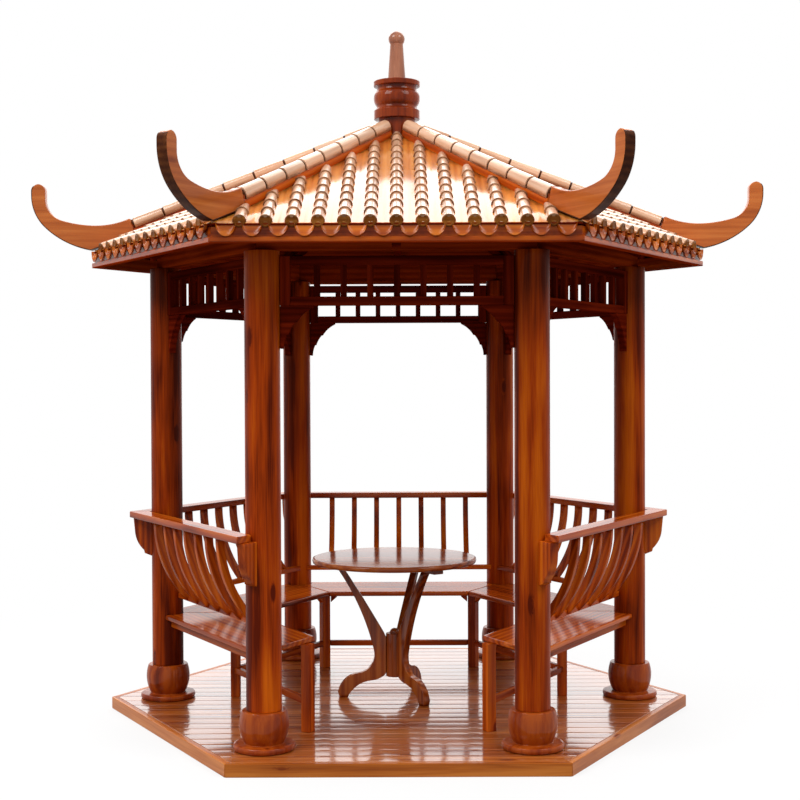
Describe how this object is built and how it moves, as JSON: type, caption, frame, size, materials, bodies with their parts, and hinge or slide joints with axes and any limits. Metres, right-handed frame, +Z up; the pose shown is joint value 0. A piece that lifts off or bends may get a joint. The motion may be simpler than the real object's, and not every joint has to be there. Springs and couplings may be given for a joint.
{
  "type": "garden gazebo",
  "caption": "Hexagonal open timber pavilion with a tiled roof, upturned eave corners, turned finial, openwork friezes, built-in benches and a round table.",
  "frame": {"origin": "on the ground, under the middle of the deck", "axes": "+Z up, +X to the right from one corner column to the one opposite, -Y towards the open bay that people enter"},
  "size_m": [3.79, 3.3072, 3.5168],
  "materials": {
    "deck_timber": "gloss varnish",
    "column_timber": "gloss varnish",
    "turned_timber": "gloss varnish",
    "frame_timber": "gloss varnish",
    "roof_timber": "gloss varnish",
    "bench_timber": "gloss varnish",
    "table_timber": "gloss varnish"
  },
  "bodies": {
    "root": {"deck_frame": "deck_timber", "deck_floor": "deck_timber", "column_bases": "turned_timber", "column_front_left": "column_timber", "column_front_right": "column_timber", "column_right": "column_timber", "column_back_right": "column_timber", "column_back_left": "column_timber", "column_left": "column_timber", "ring_beam": "frame_timber", "rafters": "frame_timber", "king_post": "frame_timber", "roof_front": "roof_timber", "roof_front_right": "roof_timber", "roof_back_right": "roof_timber", "roof_back": "roof_timber", "roof_back_left": "roof_timber", "roof_front_left": "roof_timber", "eave_boards": "roof_timber", "hip_covers": "roof_timber", "upturned_eaves": "roof_timber", "finial": "turned_timber", "frieze_front": "frame_timber", "frieze_front_right": "frame_timber", "frieze_back_right": "frame_timber", "frieze_back": "frame_timber", "frieze_back_left": "frame_timber", "frieze_front_left": "frame_timber", "corner_brackets": "frame_timber", "bench_seat_front_right": "bench_timber", "bench_seat_back_right": "bench_timber", "bench_seat_back": "bench_timber", "bench_seat_back_left": "bench_timber", "bench_seat_front_left": "bench_timber", "bench_back_front_right": "bench_timber", "bench_back_back_right": "bench_timber", "bench_back_back": "bench_timber", "bench_back_back_left": "bench_timber", "bench_back_front_left": "bench_timber", "bench_legs": "bench_timber", "bench_rails": "bench_timber", "back_corbels": "bench_timber", "table_top": "table_timber", "table_legs": "table_timber", "table_hub": "table_timber"}
  },
  "joints": []
}
